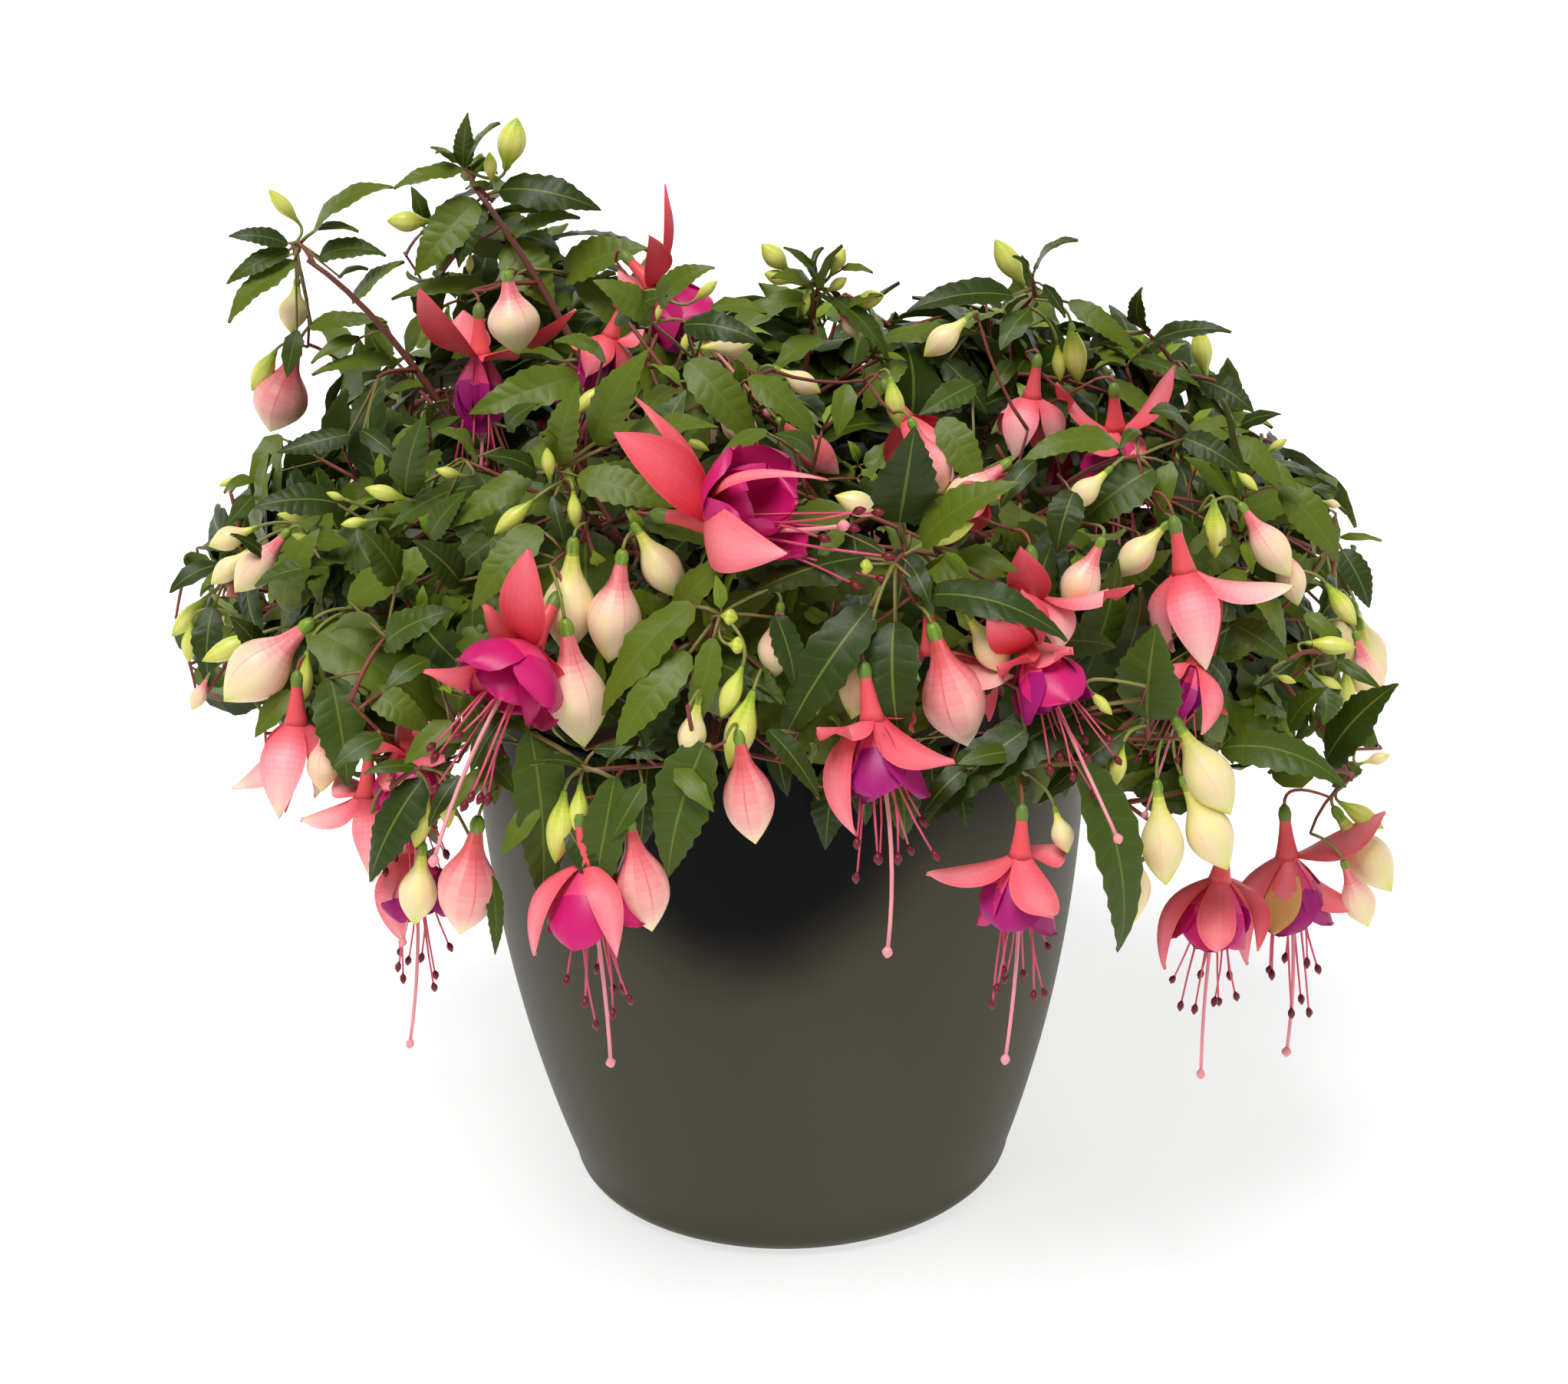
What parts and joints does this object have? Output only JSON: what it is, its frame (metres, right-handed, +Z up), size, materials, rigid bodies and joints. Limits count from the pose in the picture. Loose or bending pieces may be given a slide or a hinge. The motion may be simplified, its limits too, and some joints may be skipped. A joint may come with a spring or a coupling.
{
  "type": "potted fuchsia",
  "caption": "Bushy trailing fuchsia shrub in flower, with dark green leaves, hanging buds and open blooms, in a plain round dark grey pot that stands on its flat underside.",
  "frame": {"origin": "middle of the pot's flat underside, on the surface it stands on", "axes": "+Z up along the pot's axis, -Y towards the side that the picture shows, +X to the right of that view"},
  "size_m": [0.4401, 0.4123, 0.3995],
  "materials": {
    "pot": "satin dark taupe grey",
    "soil": "damp dark potting mix, crumbly and matt",
    "wood": "reddish brown bark, matt, finely ridged",
    "foliage": "soft satin leaves, dark green above and paler below"
  },
  "bodies": {
    "root": {"bough_back_lower": "wood", "bough_back_upper": "wood", "bough_bl_lower": "wood", "bough_bl_upper": "wood", "bough_br_lower": "wood", "bough_br_upper": "wood", "bough_centre_peak": "wood", "bough_fl_lower": "wood", "bough_fl_upper": "wood", "bough_fr_lower": "wood", "bough_fr_upper": "wood", "bough_front_lower": "wood", "bough_front_top": "wood", "bough_front_upper": "wood", "bough_high_left": "wood", "bough_left_lower": "wood", "bough_left_upper": "wood", "bough_rb_lower": "wood", "bough_right_lower": "wood", "bough_right_peak": "wood", "bough_right_shoulder": "wood", "bough_right_upper": "wood", "bough_tall_left": "wood", "foliage_back_lower": "foliage", "foliage_back_upper": "foliage", "foliage_bl_lower": "foliage", "foliage_bl_upper": "foliage", "foliage_br_lower": "foliage", "foliage_br_upper": "foliage", "foliage_centre_peak": "foliage", "foliage_centre_top": "foliage", "foliage_fl_lower": "foliage", "foliage_fl_upper": "foliage", "foliage_fr_lower": "foliage", "foliage_fr_upper": "foliage", "foliage_front_lower": "foliage", "foliage_front_top": "foliage", "foliage_front_upper": "foliage", "foliage_high_left": "foliage", "foliage_left_lower": "foliage", "foliage_left_upper": "foliage", "foliage_rb_lower": "foliage", "foliage_right_lower": "foliage", "foliage_right_peak": "foliage", "foliage_right_shoulder": "foliage", "foliage_right_upper": "foliage", "foliage_tall_left": "foliage", "pot": "pot", "soil": "soil", "trunk": "wood"}
  },
  "joints": []
}
